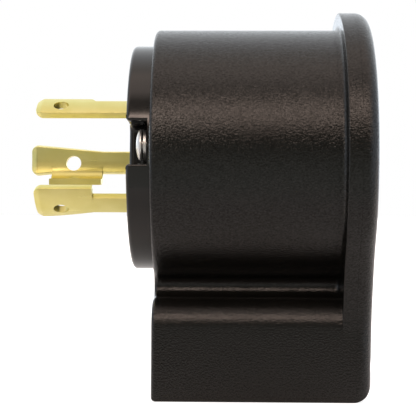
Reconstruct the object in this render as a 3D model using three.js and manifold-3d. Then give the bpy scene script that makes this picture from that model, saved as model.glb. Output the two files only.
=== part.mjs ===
// A short plug adapter for trailers: a three-blade locking plug on one end, a travel-trailer
// receptacle on the other, and a round barrel with a square grip block between them.
// Millimetres. The origin is the centre of the plug's face; the blades point along -X,
// the receptacle faces +X, and +Z is up, so the adapter stands on its grip block.
import * as THREE from "three";
import { mergeVertices } from "three/addons/utils/BufferGeometryUtils.js";
import Module from "manifold-3d";

const wasm = await Module();
wasm.setup();

// Driving dimensions of the body.
const BARREL_RADIUS = 29.9;
const FLANGE_RADIUS = 33.9;
const INSERT_RADIUS = 26.2;
const BLOCK_HALF_WIDTH = 21.2;
const BLOCK_TOP = -31.7;
const BLOCK_BOTTOM = -54.4;
const BLOCK_CORNER = 6.3;
const BASE_CORNER = 0.7;
const NECK_FILLET = 2.3;
const FLANGE_BLEND = 36;
const WALL = 3;
const SEAT_GAP = 0.25;

// Stations along the plug axis.
const INSERT_FACE = 0;
const HOUSING_REAR = 5.3;
const INSERT_RECESS = 1.5;
const FLANGE_BACK = 47.4;
const PARTING = 50.5;
const COVER_FRONT = 54.1;
const REAR_ROUND = 0.8;
const COVER_ROUND = 3.1;
const BASE_FRONT_ROUND = 5;
const DRAFT_TOP = -28;
const DRAFT_SLOPE = 0.015;
const INSERT_ROUND = 1.2;

// Cored-out cells inside the grip block.
const CELL_WIDTH = 6.6;
const CELL_PITCH = 8.7;

// Plug insert and blades.
const SPIGOT_RADIUS = 17.5;
const SPIGOT_END = 14;
const RETAINER_START = SPIGOT_END + 0.3;
const RETAINER_END = 19.7;
const RETAINER_RADIUS = 23.4;
const BLADE_RADIUS = 14.35;
const BLADE_THICKNESS = 1.8;
const BLADE_TAIL = 20.7;
const BLADE_HOLE_RADIUS = 1.85;
const LEG = { x: [-21.2, -9], y: [7, 12.7], thickness: 1.5, z: -5.6 };
const TIP_CORNER = 1.8;
const SLOT_MARGIN = 3;
const SCREW_CIRCLE = 20.9;
const SCREW_ANGLES = [5.6, 125.6, 245.6];
const SCREW_HEAD = 1.9;
const SCREW_HEAD_BACK = 3.3;
const SCREW_HEAD_RADIUS = 3.5;
const SCREW_SHANK = 1.45;
const SCREW_HOLE = 1.75;
const SCREW_TIP = 16;
const SCREW_BOSS_RADIUS = 3;
const SCREW_BOSS_END = 18;
const WASHER_RADIUS = 2.9;
const WASHER_THICKNESS = 0.9;
const NOTCH_WIDTH = 9.4;
const NOTCH_INNER = 16.1;
const NOTCH_LENGTH = 20;
const NOTCH_FLOOR = 4.7;

// Receptacle: two slanted slots over a round ground hole.
const CORE_RADIUS = 20.3;
const SKIRT_RADIUS = 23.4;
const SKIRT_START = 23.4;
const CHAMBER_END = 50;
const CHAMBER_LENGTH = 10.4;
const CHAMBER_WIDTH = 6.4;
const GROUND_CHAMBER_RADIUS = 5;
const SLOT_Y = 8.4;
const SLOT_Z = 3.8;
const SLOT_LENGTH = 9.5;
const SLOT_WIDTH = 2.6;
const GROUND_Z = -8.6;
const GROUND_HOLE_RADIUS = 2.75;
const GROUND_PIN_RADIUS = 2.5;
const CONTACT_END = 47;

// Conductors behind the blades.
const STRAP_START = BLADE_TAIL + 0.3;
const STRAP_THICKNESS = 1.2;
const CONTACT_START = STRAP_START + STRAP_THICKNESS + 0.3;
const CONTACT_BASE = 1.2;
const CONTACT_SHEET = 0.8;
const CONTACT_HALF = 2.7;
const CONTACT_PINCH = 1.9;
const CONTACT_LENGTH = 8;
const STRAP_HALF_WIDTH = 2.6;
const RIVET_RADIUS = 1.05;
const RIVET_HOLE = 1.35;
const RIVET_HEAD_RADIUS = 2.2;
const RIVET_FOOT_RADIUS = 1.6;
const RIVET_HEAD_HEIGHT = 0.8;

// Screws that hold the front cover: two beside the receptacle, two in the block.
const COVER_SCREW_CIRCLE = 27.6;
const COVER_SCREW_Y = 16.2;
const COVER_SCREW_Z = -46.5;
const COVER_BOSS_RADIUS = 3.6;
const COVER_BOSS_START = 34;
const COVER_SCREW_RADIUS = 1.25;
const COVER_SCREW_TIP = 38;
const COVER_HEAD_RADIUS = 2.6;
const COVER_HEAD_TOP = COVER_FRONT - 0.6;
const COVER_HEAD_CONE = 1.4;
const COVER_HEAD_RIM = 0.3;
const RECESS_WIDTH = 0.7;

const BLACK_PLASTIC = new THREE.MeshStandardMaterial({ color: 0x282624, roughness: 0.55, metalness: 0 });
const INSERT_PLASTIC = new THREE.MeshStandardMaterial({ color: 0x211f1d, roughness: 0.4, metalness: 0 });
const BRASS = new THREE.MeshStandardMaterial({ color: 0xd8c878, roughness: 0.3, metalness: 1 });
const STEEL = new THREE.MeshStandardMaterial({ color: 0xc9cac6, roughness: 0.3, metalness: 1 });

const radians = THREE.MathUtils.degToRad;

// ---- Solids and booleans -------------------------------------------------------------------

function toSolid(geometry) {
  geometry.deleteAttribute("normal");
  geometry.deleteAttribute("uv");
  const merged = mergeVertices(geometry, 1e-5);
  const vertProperties = new Float32Array(merged.attributes.position.array);
  const triVerts = new Uint32Array(merged.index.array);
  return new wasm.Manifold(new wasm.Mesh({ numProp: 3, vertProperties, triVerts }));
}

function toGeometry(solid) {
  const mesh = solid.getMesh();
  const geometry = new THREE.BufferGeometry();
  geometry.setAttribute("position", new THREE.BufferAttribute(new Float32Array(mesh.vertProperties), 3));
  geometry.setIndex(new THREE.BufferAttribute(new Uint32Array(mesh.triVerts), 1));
  geometry.computeVertexNormals();
  return geometry;
}

// A round bar along X, centred on (y, z).
function bar(radius, from, to, y = 0, z = 0, sides = 32) {
  const geometry = new THREE.CylinderGeometry(radius, radius, to - from, sides);
  geometry.rotateZ(-Math.PI / 2);
  geometry.translate((from + to) / 2, y, z);
  return toSolid(geometry);
}

// A profile of [radius, x] pairs turned round the X axis through (y, z).
function turned(profile, y = 0, z = 0, sides = 32) {
  const geometry = new THREE.LatheGeometry(profile.map(([r, x]) => new THREE.Vector2(r, x)), sides);
  geometry.rotateZ(-Math.PI / 2);
  geometry.translate(0, y, z);
  return toSolid(geometry);
}

// A flat outline in the plane of `right` and `up`, extruded by `depth` along their normal.
function extruded(shape, depth, right, up, origin, curveSegments = 12) {
  const geometry = new THREE.ExtrudeGeometry(shape, { depth, bevelEnabled: false, curveSegments });
  const normal = new THREE.Vector3().crossVectors(right, up);
  geometry.applyMatrix4(new THREE.Matrix4().makeBasis(right, up, normal).setPosition(origin));
  return toSolid(geometry);
}

const X_AXIS = new THREE.Vector3(1, 0, 0);
const Y_AXIS = new THREE.Vector3(0, 1, 0);
const Z_AXIS = new THREE.Vector3(0, 0, 1);

// A (y, z) outline extruded from one station to another.
function alongX(shape, from, to, curveSegments = 12) {
  return extruded(shape, to - from, Y_AXIS, Z_AXIS, new THREE.Vector3(from, 0, 0), curveSegments);
}

function rectangle(width, height) {
  const shape = new THREE.Shape();
  shape.moveTo(-width / 2, -height / 2);
  shape.lineTo(width / 2, -height / 2);
  shape.lineTo(width / 2, height / 2);
  shape.lineTo(-width / 2, height / 2);
  return shape;
}

// ---- Outlines of the body ------------------------------------------------------------------

// Joins arcs given as [centre y, centre z, radius, start, end, steps] into one closed outline.
function joinArcs(arcs) {
  const points = [];
  for (const [y, z, radius, start, end, steps] of arcs) {
    for (let step = 0; step <= steps; step += 1) {
      const angle = start + ((end - start) * step) / steps;
      const point = new THREE.Vector2(y + radius * Math.cos(angle), z + radius * Math.sin(angle));
      const last = points[points.length - 1];
      if (!last || last.distanceTo(point) > 1e-6) points.push(point);
    }
  }
  return points;
}

function baseCorners(inset, rise) {
  const radius = Math.max(BASE_CORNER - inset, 0.2);
  const y = BLOCK_HALF_WIDTH - inset - radius;
  const z = BLOCK_BOTTOM + Math.max(inset, rise) + radius;
  return [
    [-y, z, radius, Math.PI, 1.5 * Math.PI, 3],
    [y, z, radius, 1.5 * Math.PI, 2 * Math.PI, 3],
  ];
}

// Barrel circle, small concave neck, and the grip block with its large top corners.
function barrelOutline(inset = 0, rise = 0) {
  const neckZ = BLOCK_TOP + NECK_FILLET;
  const neckY = Math.sqrt((BARREL_RADIUS + NECK_FILLET) ** 2 - neckZ ** 2);
  const meet = Math.atan2(neckZ, neckY);
  const cornerY = BLOCK_HALF_WIDTH - BLOCK_CORNER;
  const cornerZ = BLOCK_TOP - BLOCK_CORNER;
  return joinArcs([
    [0, 0, BARREL_RADIUS - inset, meet, Math.PI - meet, 64],
    [-neckY, neckZ, NECK_FILLET + inset, -meet, -Math.PI / 2, 5],
    [-cornerY, cornerZ, BLOCK_CORNER - inset, Math.PI / 2, Math.PI, 6],
    ...baseCorners(inset, rise),
    [cornerY, cornerZ, BLOCK_CORNER - inset, 0, Math.PI / 2, 6],
    [neckY, neckZ, NECK_FILLET + inset, -Math.PI / 2, meet - Math.PI, 5],
  ]);
}

// Flange circle blended into the straight sides of the block.
function flangeOutline(inset = 0, rise = 0) {
  const blendY = BLOCK_HALF_WIDTH + FLANGE_BLEND;
  const blendZ = -Math.sqrt((FLANGE_RADIUS + FLANGE_BLEND) ** 2 - blendY ** 2);
  const meet = Math.atan2(blendZ, blendY);
  return joinArcs([
    [0, 0, FLANGE_RADIUS - inset, meet, Math.PI - meet, 60],
    [-blendY, blendZ, FLANGE_BLEND + inset, -meet, 0, 6],
    ...baseCorners(inset, rise),
    [blendY, blendZ, FLANGE_BLEND + inset, -Math.PI, meet - Math.PI, 6],
  ]);
}

// Stations of a body whose rear and front edges are rounded by quarter circles.
function roundedStations(from, to, rearRound, frontRound) {
  const steps = 4;
  const stations = [];
  for (let step = 0; step <= steps && rearRound > 0; step += 1) {
    const angle = (step / steps) * (Math.PI / 2);
    stations.push([from + rearRound * (1 - Math.cos(angle)), rearRound * (1 - Math.sin(angle))]);
  }
  if (rearRound === 0) stations.push([from, 0]);
  for (let step = 0; step <= steps && frontRound > 0; step += 1) {
    const angle = (step / steps) * (Math.PI / 2);
    stations.push([to - frontRound * (1 - Math.sin(angle)), frontRound * (1 - Math.cos(angle))]);
  }
  if (frontRound === 0) stations.push([to, 0]);
  return stations;
}

// How far the base has risen at a station, where its front edge is rounded.
function baseRise(x) {
  const past = Math.max(x - (COVER_FRONT - BASE_FRONT_ROUND), 0);
  return BASE_FRONT_ROUND - Math.sqrt(BASE_FRONT_ROUND ** 2 - past ** 2);
}

// Skins an outline through [x, inset] stations and closes both ends.
function lofted(outline, stations) {
  const positions = [];
  const faces = [];
  const count = outline(0).length;
  for (const [x, inset] of stations) {
    for (const point of outline(inset, baseRise(x))) positions.push(x, point.x, point.y);
  }
  for (let row = 0; row < stations.length - 1; row += 1) {
    for (let column = 0; column < count; column += 1) {
      const next = (column + 1) % count;
      const low = row * count;
      const high = low + count;
      faces.push(low + column, low + next, high + column);
      faces.push(low + next, high + next, high + column);
    }
  }
  const top = (stations.length - 1) * count;
  const [rearX, rearInset] = stations[0];
  const [frontX, frontInset] = stations[stations.length - 1];
  const rearCap = THREE.ShapeUtils.triangulateShape(outline(rearInset, baseRise(rearX)), []);
  const frontCap = THREE.ShapeUtils.triangulateShape(outline(frontInset, baseRise(frontX)), []);
  for (const [a, b, c] of rearCap) faces.push(a, c, b);
  for (const [a, b, c] of frontCap) faces.push(top + a, top + b, top + c);
  const geometry = new THREE.BufferGeometry();
  geometry.setAttribute("position", new THREE.Float32BufferAttribute(positions, 3));
  geometry.setIndex(faces);
  return toSolid(geometry);
}

// ---- Casings -------------------------------------------------------------------------------

// Angles round the plug start at -Y and turn towards +Z.
function onCircle(radius, degrees) {
  return [-radius * Math.cos(radians(degrees)), radius * Math.sin(radians(degrees))];
}

function coverScrewPlaces() {
  return [
    onCircle(COVER_SCREW_CIRCLE, 45),
    onCircle(COVER_SCREW_CIRCLE, 135),
    [-COVER_SCREW_Y, COVER_SCREW_Z],
    [COVER_SCREW_Y, COVER_SCREW_Z],
  ];
}

// The cells that keep the walls of the grip block from being thick.
function blockCells(from) {
  const top = BLOCK_TOP - WALL;
  const bottom = BLOCK_BOTTOM + WALL;
  const cells = [-1, 0, 1].map((column) => {
    const cell = new THREE.BoxGeometry(PARTING + 1 - from, CELL_WIDTH, top - bottom);
    cell.translate((from + PARTING + 1) / 2, column * CELL_PITCH, (top + bottom) / 2);
    return toSolid(cell);
  });
  return cells[0].add(cells[1]).add(cells[2]);
}

function rearHousing() {
  const face = PARTING - SEAT_GAP / 2;
  const barrel = lofted(barrelOutline, roundedStations(HOUSING_REAR, face, REAR_ROUND, 0));
  const bend = COVER_FRONT - BASE_FRONT_ROUND;
  const flange = lofted(flangeOutline, [[FLANGE_BACK, 0], [bend, 0], [bend + 0.7, 0], [face, 0]]);
  const seat = HOUSING_REAR + INSERT_RECESS;
  const backWall = seat + WALL;
  let bore = bar(BARREL_RADIUS - WALL, backWall, PARTING + 1, 0, 0, 64);
  let holes = bar(SPIGOT_RADIUS + SEAT_GAP, HOUSING_REAR - 1, backWall + 1, 0, 0, 48);
  holes = holes.add(bar(INSERT_RADIUS + SEAT_GAP, HOUSING_REAR - 1, seat, 0, 0, 64));
  for (const [y, z] of coverScrewPlaces()) {
    bore = bore.subtract(bar(COVER_BOSS_RADIUS, COVER_BOSS_START, PARTING + 2, y, z, 24));
    holes = holes.add(bar(COVER_SCREW_RADIUS + 0.3, COVER_SCREW_TIP - 1, PARTING + 1, y, z, 16));
  }
  for (const angle of SCREW_ANGLES) {
    const [y, z] = onCircle(SCREW_CIRCLE, angle);
    bore = bore.subtract(bar(SCREW_BOSS_RADIUS, seat, SCREW_BOSS_END, y, z, 24));
    holes = holes.add(bar(SCREW_HOLE, HOUSING_REAR - 1, SCREW_BOSS_END - 1, y, z, 16));
  }
  return barrel.add(flange).subtract(bore).subtract(blockCells(backWall)).subtract(holes);
}

// Takes the front of the block back a little, more towards its base.
function draftWedge() {
  const depth = 2 * (DRAFT_TOP - BLOCK_BOTTOM);
  const wedge = new THREE.Shape();
  wedge.moveTo(COVER_FRONT, DRAFT_TOP);
  wedge.lineTo(COVER_FRONT - DRAFT_SLOPE * depth, DRAFT_TOP - depth);
  wedge.lineTo(COVER_FRONT + 1, DRAFT_TOP - depth);
  wedge.lineTo(COVER_FRONT + 1, DRAFT_TOP);
  const width = 4 * BLOCK_HALF_WIDTH;
  const origin = new THREE.Vector3(0, width / 2, 0);
  return extruded(wedge, width, X_AXIS, Z_AXIS, origin);
}

function frontCover() {
  const back = PARTING + SEAT_GAP / 2;
  let cover = lofted(flangeOutline, roundedStations(back, COVER_FRONT, 0, COVER_ROUND));
  cover = cover.subtract(draftWedge());
  cover = cover.subtract(bar(CORE_RADIUS + SEAT_GAP, back - 1, COVER_FRONT + 1, 0, 0, 48));
  for (const [y, z] of coverScrewPlaces()) {
    const clearance = COVER_SCREW_RADIUS + 0.35;
    const sink = COVER_HEAD_RADIUS + 0.35;
    const coneEnd = COVER_HEAD_TOP - COVER_HEAD_RIM;
    cover = cover.subtract(turned([
      [0, back - 1],
      [clearance, back - 1],
      [clearance, coneEnd - COVER_HEAD_CONE - 0.3],
      [sink, coneEnd],
      [sink, COVER_FRONT + 1],
      [0, COVER_FRONT + 1],
    ], y, z, 20));
  }
  return cover;
}

// ---- Plug insert and blades ----------------------------------------------------------------

// Part of a tube round the plug axis, between two angles.
function sector(fromAngle, toAngle, inner, outer, from, to) {
  const start = Math.PI - radians(toAngle);
  const end = Math.PI - radians(fromAngle);
  const points = joinArcs([
    [0, 0, outer, start, end, 8],
    [0, 0, inner, end, start, 8],
  ]);
  return alongX(new THREE.Shape(points), from, to);
}

// Each blade is an outline of [angle, x] points on the blade circle, seen from outside.
const BLADES = {
  line_blade: {
    middle: 54.3,
    root: [43.7, 64.9],
    tip: -22.2,
    outline: [[43.7, BLADE_TAIL], [43.7, -22.2], [76, -22.2], [76, -9.1], [64.9, -9.1], [64.9, BLADE_TAIL]],
    hole: [55.6, -16.1],
  },
  neutral_blade: {
    middle: -53.3,
    root: [-64.3, -42.4],
    tip: -22.4,
    outline: [
      [-64.3, BLADE_TAIL], [-64.3, -9], [-79, -22.4], [-31.4, -22.4],
      [-31.4, -8.9], [-42.4, -8.9], [-42.4, BLADE_TAIL],
    ],
    hole: [-58, -16.3],
  },
  ground_blade: {
    middle: 183.2,
    root: [171.6, 194.8],
    tip: -26.8,
    outline: [
      [171.6, BLADE_TAIL], [171.6, -9], [164.8, -26.8], [197.2, -26.8],
      [197.2, -21], [206, -21], [206, -8], [194.8, -8], [194.8, BLADE_TAIL],
    ],
    hole: [183.6, -16.5],
  },
};

// Rounds an outline's corners at the tip with curves that start TIP_CORNER from each corner.
function bladeShape(points, tip) {
  const shape = new THREE.Shape();
  points.forEach((point, index) => {
    const before = points[(index + points.length - 1) % points.length];
    const after = points[(index + 1) % points.length];
    if (point.y !== tip) {
      if (index === 0) shape.moveTo(point.x, point.y);
      else shape.lineTo(point.x, point.y);
      return;
    }
    const arrive = point.clone().add(before.clone().sub(point).setLength(TIP_CORNER));
    const leave = point.clone().add(after.clone().sub(point).setLength(TIP_CORNER));
    shape.lineTo(arrive.x, arrive.y);
    shape.quadraticCurveTo(point.x, point.y, leave.x, leave.y);
  });
  return shape;
}

function blade({ middle, tip, outline, hole }) {
  const reach = BLADE_RADIUS + 1;
  const radial = new THREE.Vector3(0, ...onCircle(1, middle));
  const tangent = new THREE.Vector3().crossVectors(radial, X_AXIS);
  const across = (angle) => BLADE_RADIUS * Math.sin(radians(angle - middle));
  const points = outline.map(([angle, x]) => new THREE.Vector2(across(angle), x));
  const origin = radial.clone().multiplyScalar(reach);
  const depth = reach - BLADE_RADIUS / 2;
  const prism = extruded(bladeShape(points, tip), depth, tangent, X_AXIS, origin, 4);
  const inner = BLADE_RADIUS - BLADE_THICKNESS;
  const shell = sector(middle - 40, middle + 40, inner, BLADE_RADIUS, tip - 1, BLADE_TAIL + 1);
  const holeShape = new THREE.Shape().absarc(across(hole[0]), hole[1], BLADE_HOLE_RADIUS, 0, 2 * Math.PI);
  return shell.intersect(prism).subtract(extruded(holeShape, depth, tangent, X_AXIS, origin, 10));
}

// The ground blade carries a leg folded in towards the plug axis.
function groundBlade() {
  const leg = new THREE.BoxGeometry(LEG.x[1] - LEG.x[0], LEG.y[1] - LEG.y[0], LEG.thickness);
  leg.translate((LEG.x[0] + LEG.x[1]) / 2, (LEG.y[0] + LEG.y[1]) / 2, LEG.z);
  return blade(BLADES.ground_blade).add(toSolid(leg));
}

function bladeSlots(from, to) {
  const clearance = SEAT_GAP + 0.05;
  const inner = BLADE_RADIUS - BLADE_THICKNESS - clearance;
  const slots = Object.values(BLADES).map(({ root }) => (
    sector(root[0] - SLOT_MARGIN, root[1] + SLOT_MARGIN, inner, BLADE_RADIUS + clearance, from, to)
  ));
  return slots[0].add(slots[1]).add(slots[2]);
}

// A screw pocket: a U-shaped notch open to the insert's rim.
function screwPocket(angle) {
  const shape = rectangle(NOTCH_WIDTH, NOTCH_LENGTH);
  const radial = new THREE.Vector3(0, ...onCircle(1, angle));
  const tangent = new THREE.Vector3().crossVectors(radial, X_AXIS);
  const origin = radial.clone().multiplyScalar(NOTCH_INNER + NOTCH_LENGTH / 2).setX(INSERT_FACE - 1);
  return extruded(shape, NOTCH_FLOOR - INSERT_FACE + 1, tangent, radial, origin);
}

function plugInsert() {
  const seat = HOUSING_REAR + INSERT_RECESS - SEAT_GAP;
  let insert = turned([
    [0, INSERT_FACE],
    [INSERT_RADIUS - INSERT_ROUND, INSERT_FACE],
    [INSERT_RADIUS - INSERT_ROUND * 0.3, INSERT_FACE + INSERT_ROUND * 0.3],
    [INSERT_RADIUS, INSERT_FACE + INSERT_ROUND],
    [INSERT_RADIUS, seat],
    [SPIGOT_RADIUS, seat],
    [SPIGOT_RADIUS, SPIGOT_END],
    [0, SPIGOT_END],
  ], 0, 0, 64);
  insert = insert.subtract(bladeSlots(INSERT_FACE - 1, SPIGOT_END + 1));
  for (const angle of SCREW_ANGLES) {
    const [y, z] = onCircle(SCREW_CIRCLE, angle);
    insert = insert.subtract(screwPocket(angle)).subtract(bar(SCREW_HOLE, 0, seat + 1, y, z, 16));
  }
  return insert;
}

// A cup that holds the blades' tails and keeps them away from the housing's wall.
function bladeRetainer() {
  const wallStart = HOUSING_REAR + INSERT_RECESS + WALL + SEAT_GAP;
  let cup = bar(RETAINER_RADIUS, wallStart, RETAINER_END, 0, 0, 64);
  cup = cup.subtract(bar(SPIGOT_RADIUS + SEAT_GAP, wallStart - 1, RETAINER_START, 0, 0, 48));
  for (const angle of SCREW_ANGLES) {
    const [y, z] = onCircle(SCREW_CIRCLE, angle);
    cup = cup.subtract(bar(SCREW_BOSS_RADIUS + SEAT_GAP, wallStart - 1, SCREW_BOSS_END + SEAT_GAP, y, z, 24));
  }
  return cup.subtract(bladeSlots(RETAINER_START - 1, RETAINER_END + 1));
}

// ---- Fasteners -----------------------------------------------------------------------------

// Two crossed slots, cut `depth` into a head whose face is at `face`.
function crossRecess(face, depth, length, y, z) {
  const arm = new THREE.BoxGeometry(depth * 2, length, RECESS_WIDTH);
  arm.translate(face, y, z);
  const other = new THREE.BoxGeometry(depth * 2, RECESS_WIDTH, length);
  other.translate(face, y, z);
  return toSolid(arm).add(toSolid(other));
}

function insertScrew(angle) {
  const [y, z] = onCircle(SCREW_CIRCLE, angle);
  const screw = turned([
    [0, SCREW_HEAD],
    [SCREW_HEAD_RADIUS * 0.5, SCREW_HEAD + 0.1],
    [SCREW_HEAD_RADIUS * 0.85, SCREW_HEAD + 0.5],
    [SCREW_HEAD_RADIUS, SCREW_HEAD + 1],
    [SCREW_HEAD_RADIUS, SCREW_HEAD_BACK],
    [SCREW_SHANK, SCREW_HEAD_BACK],
    [SCREW_SHANK, SCREW_TIP - 0.6],
    [0, SCREW_TIP],
  ], y, z, 24);
  return screw.subtract(crossRecess(SCREW_HEAD, 0.9, SCREW_HEAD_RADIUS, y, z));
}

function insertWasher(angle) {
  const [y, z] = onCircle(SCREW_CIRCLE, angle);
  const back = NOTCH_FLOOR - SEAT_GAP;
  const front = back - WASHER_THICKNESS;
  return turned([
    [SCREW_HOLE, front],
    [WASHER_RADIUS, front],
    [WASHER_RADIUS, back],
    [SCREW_HOLE, back],
    [SCREW_HOLE, front],
  ], y, z, 24);
}

function coverScrew([y, z]) {
  const coneEnd = COVER_HEAD_TOP - COVER_HEAD_RIM;
  const screw = turned([
    [0, COVER_SCREW_TIP],
    [COVER_SCREW_RADIUS, COVER_SCREW_TIP + 1],
    [COVER_SCREW_RADIUS, coneEnd - COVER_HEAD_CONE],
    [COVER_HEAD_RADIUS, coneEnd],
    [COVER_HEAD_RADIUS, COVER_HEAD_TOP],
    [0, COVER_HEAD_TOP],
  ], y, z, 20);
  return screw.subtract(crossRecess(COVER_HEAD_TOP, 1, COVER_HEAD_RADIUS * 1.15, y, z));
}

// ---- Receptacle and conductors -------------------------------------------------------------

// Directions of a slanted slot: `along` its length, and `across` it. Side is -1 or 1 in y.
function slotAxes(side) {
  const along = new THREE.Vector3(0, -side, 1).normalize();
  const across = new THREE.Vector3().crossVectors(along, X_AXIS);
  return { along, across };
}

function slotPrism(side, length, width, from, to) {
  const { along, across } = slotAxes(side);
  const origin = new THREE.Vector3(from, side * SLOT_Y, SLOT_Z);
  return extruded(rectangle(width, length), to - from, across, along, origin);
}

function receptacleCore() {
  const shoulder = PARTING - SEAT_GAP / 2;
  let core = turned([
    [0, SKIRT_START],
    [SKIRT_RADIUS, SKIRT_START],
    [SKIRT_RADIUS, shoulder],
    [CORE_RADIUS, shoulder],
    [CORE_RADIUS, COVER_FRONT],
    [0, COVER_FRONT],
  ], 0, 0, 48);
  for (const side of [-1, 1]) {
    core = core.subtract(slotPrism(side, SLOT_LENGTH, SLOT_WIDTH, SKIRT_START, COVER_FRONT + 1));
    core = core.subtract(slotPrism(side, CHAMBER_LENGTH, CHAMBER_WIDTH, SKIRT_START - 1, CHAMBER_END));
  }
  core = core.subtract(bar(GROUND_HOLE_RADIUS, SKIRT_START, COVER_FRONT + 1, 0, GROUND_Z, 24));
  return core.subtract(bar(GROUND_CHAMBER_RADIUS, SKIRT_START - 1, CHAMBER_END, 0, GROUND_Z, 24));
}

// A folded clip whose two fingers grip a flat blade.
function slotContact(side) {
  const { along, across } = slotAxes(side);
  const half = CONTACT_HALF;
  const pinch = CONTACT_PINCH;
  const base = CONTACT_START + CONTACT_BASE;
  const clip = new THREE.Shape();
  clip.moveTo(CONTACT_START, -half);
  clip.lineTo(CONTACT_END, -pinch);
  clip.lineTo(CONTACT_END, -pinch + CONTACT_SHEET);
  clip.lineTo(base, -half + CONTACT_SHEET);
  clip.lineTo(base, half - CONTACT_SHEET);
  clip.lineTo(CONTACT_END, pinch - CONTACT_SHEET);
  clip.lineTo(CONTACT_END, pinch);
  clip.lineTo(CONTACT_START, half);
  const origin = new THREE.Vector3(0, side * SLOT_Y, SLOT_Z).addScaledVector(along, -CONTACT_LENGTH / 2);
  const solid = extruded(clip, CONTACT_LENGTH, X_AXIS, across, origin);
  return solid.subtract(bar(RIVET_HOLE, CONTACT_START - 1, base + 1, side * SLOT_Y, SLOT_Z, 16));
}

// A sleeve that grips the round ground pin.
function groundContact() {
  const inner = GROUND_PIN_RADIUS;
  const outer = inner + CONTACT_SHEET;
  const base = CONTACT_START + CONTACT_BASE;
  return turned([
    [RIVET_HOLE, CONTACT_START],
    [outer, CONTACT_START],
    [outer, CONTACT_END],
    [inner, CONTACT_END],
    [inner, base],
    [RIVET_HOLE, base],
    [RIVET_HOLE, CONTACT_START],
  ], 0, GROUND_Z, 24);
}

// A flat bar with round ends, from a blade's tail to the rivet of its contact.
function strap(tail, rivet) {
  const start = new THREE.Vector2(...tail);
  const end = new THREE.Vector2(...rivet);
  const heading = end.clone().sub(start).angle();
  const points = joinArcs([
    [end.x, end.y, STRAP_HALF_WIDTH, heading - Math.PI / 2, heading + Math.PI / 2, 10],
    [start.x, start.y, STRAP_HALF_WIDTH, heading + Math.PI / 2, heading + 1.5 * Math.PI, 10],
  ]);
  const plate = alongX(new THREE.Shape(points), STRAP_START, STRAP_START + STRAP_THICKNESS);
  return plate.subtract(bar(RIVET_HOLE, STRAP_START - 1, CONTACT_START, end.x, end.y, 16));
}

function rivet([y, z]) {
  const head = STRAP_START - 0.3;
  const foot = CONTACT_START + CONTACT_BASE + 0.3;
  return turned([
    [0, head - RIVET_HEAD_HEIGHT],
    [RIVET_HEAD_RADIUS, head - RIVET_HEAD_HEIGHT / 2],
    [RIVET_HEAD_RADIUS, head],
    [RIVET_RADIUS, head],
    [RIVET_RADIUS, foot],
    [RIVET_FOOT_RADIUS, foot],
    [RIVET_FOOT_RADIUS, foot + RIVET_HEAD_HEIGHT / 2],
    [0, foot + RIVET_HEAD_HEIGHT],
  ], y, z, 16);
}

// ---- Assembly ------------------------------------------------------------------------------

const group = new THREE.Group();

function place(name, solid, material) {
  const mesh = new THREE.Mesh(toGeometry(solid), material);
  mesh.name = name;
  group.add(mesh);
}

place("rear_housing", rearHousing(), BLACK_PLASTIC);
place("front_cover", frontCover(), BLACK_PLASTIC);
place("receptacle_core", receptacleCore(), INSERT_PLASTIC);
place("plug_insert", plugInsert(), INSERT_PLASTIC);
place("blade_retainer", bladeRetainer(), INSERT_PLASTIC);
place("line_blade", blade(BLADES.line_blade), BRASS);
place("neutral_blade", blade(BLADES.neutral_blade), BRASS);
place("ground_blade", groundBlade(), BRASS);

SCREW_ANGLES.forEach((angle, index) => {
  place(`insert_screw_${index + 1}`, insertScrew(angle), STEEL);
  place(`insert_washer_${index + 1}`, insertWasher(angle), STEEL);
});

coverScrewPlaces().forEach((spot, index) => {
  place(`cover_screw_${index + 1}`, coverScrew(spot), STEEL);
});

const tailRadius = BLADE_RADIUS - BLADE_THICKNESS / 2;
const conductors = {
  line: { tail: onCircle(tailRadius, BLADES.line_blade.middle), spot: [SLOT_Y, SLOT_Z] },
  neutral: { tail: onCircle(tailRadius, BLADES.neutral_blade.middle), spot: [-SLOT_Y, SLOT_Z] },
  ground: { tail: onCircle(tailRadius, BLADES.ground_blade.middle), spot: [0, GROUND_Z] },
};
for (const [name, { tail, spot }] of Object.entries(conductors)) {
  const contact = name === "ground" ? groundContact() : slotContact(Math.sign(spot[0]));
  place(`${name}_contact`, contact, BRASS);
  place(`${name}_strap`, strap(tail, spot), BRASS);
  place(`${name}_rivet`, rivet(spot), BRASS);
}

export default group;
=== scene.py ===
import math

import bmesh
import bpy
from mathutils import Matrix, Vector


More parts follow.
